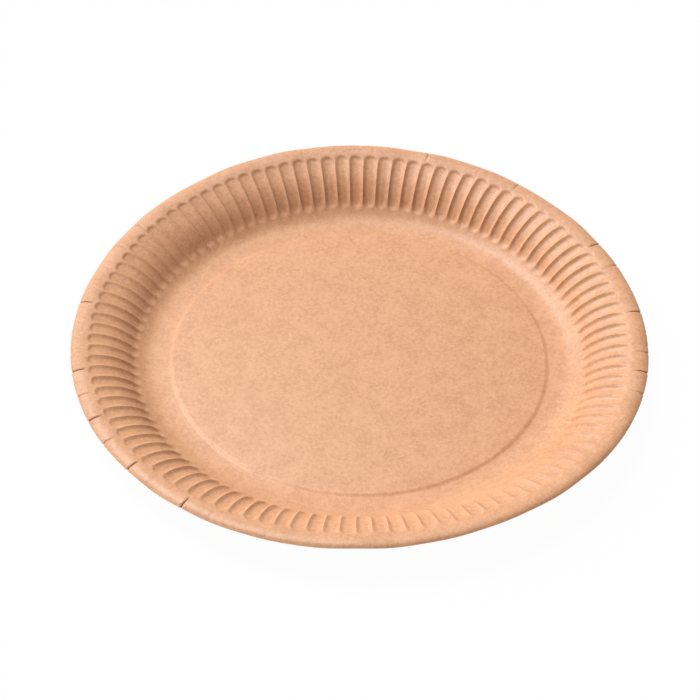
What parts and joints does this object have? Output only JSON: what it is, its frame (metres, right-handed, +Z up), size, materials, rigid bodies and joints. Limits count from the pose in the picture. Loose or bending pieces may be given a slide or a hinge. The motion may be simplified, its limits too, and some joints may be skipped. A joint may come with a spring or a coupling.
{
  "type": "paper plate",
  "caption": "Round disposable plate pressed from kraft board, with a raised centre, a fluted sloping wall and a turned-down lip.",
  "frame": {"origin": "centre of the plate at the level of the table that it stands on", "axes": "+Z up through the middle of the plate, the plate's axis of symmetry; +X and +Y lie in the plane of the table"},
  "size_m": [0.23, 0.23, 0.0164],
  "materials": {
    "kraft_board": "uncoated brown kraft board, matte, with fine pale and dark fibres"
  },
  "bodies": {
    "root": {"plate": "kraft_board"}
  },
  "joints": []
}
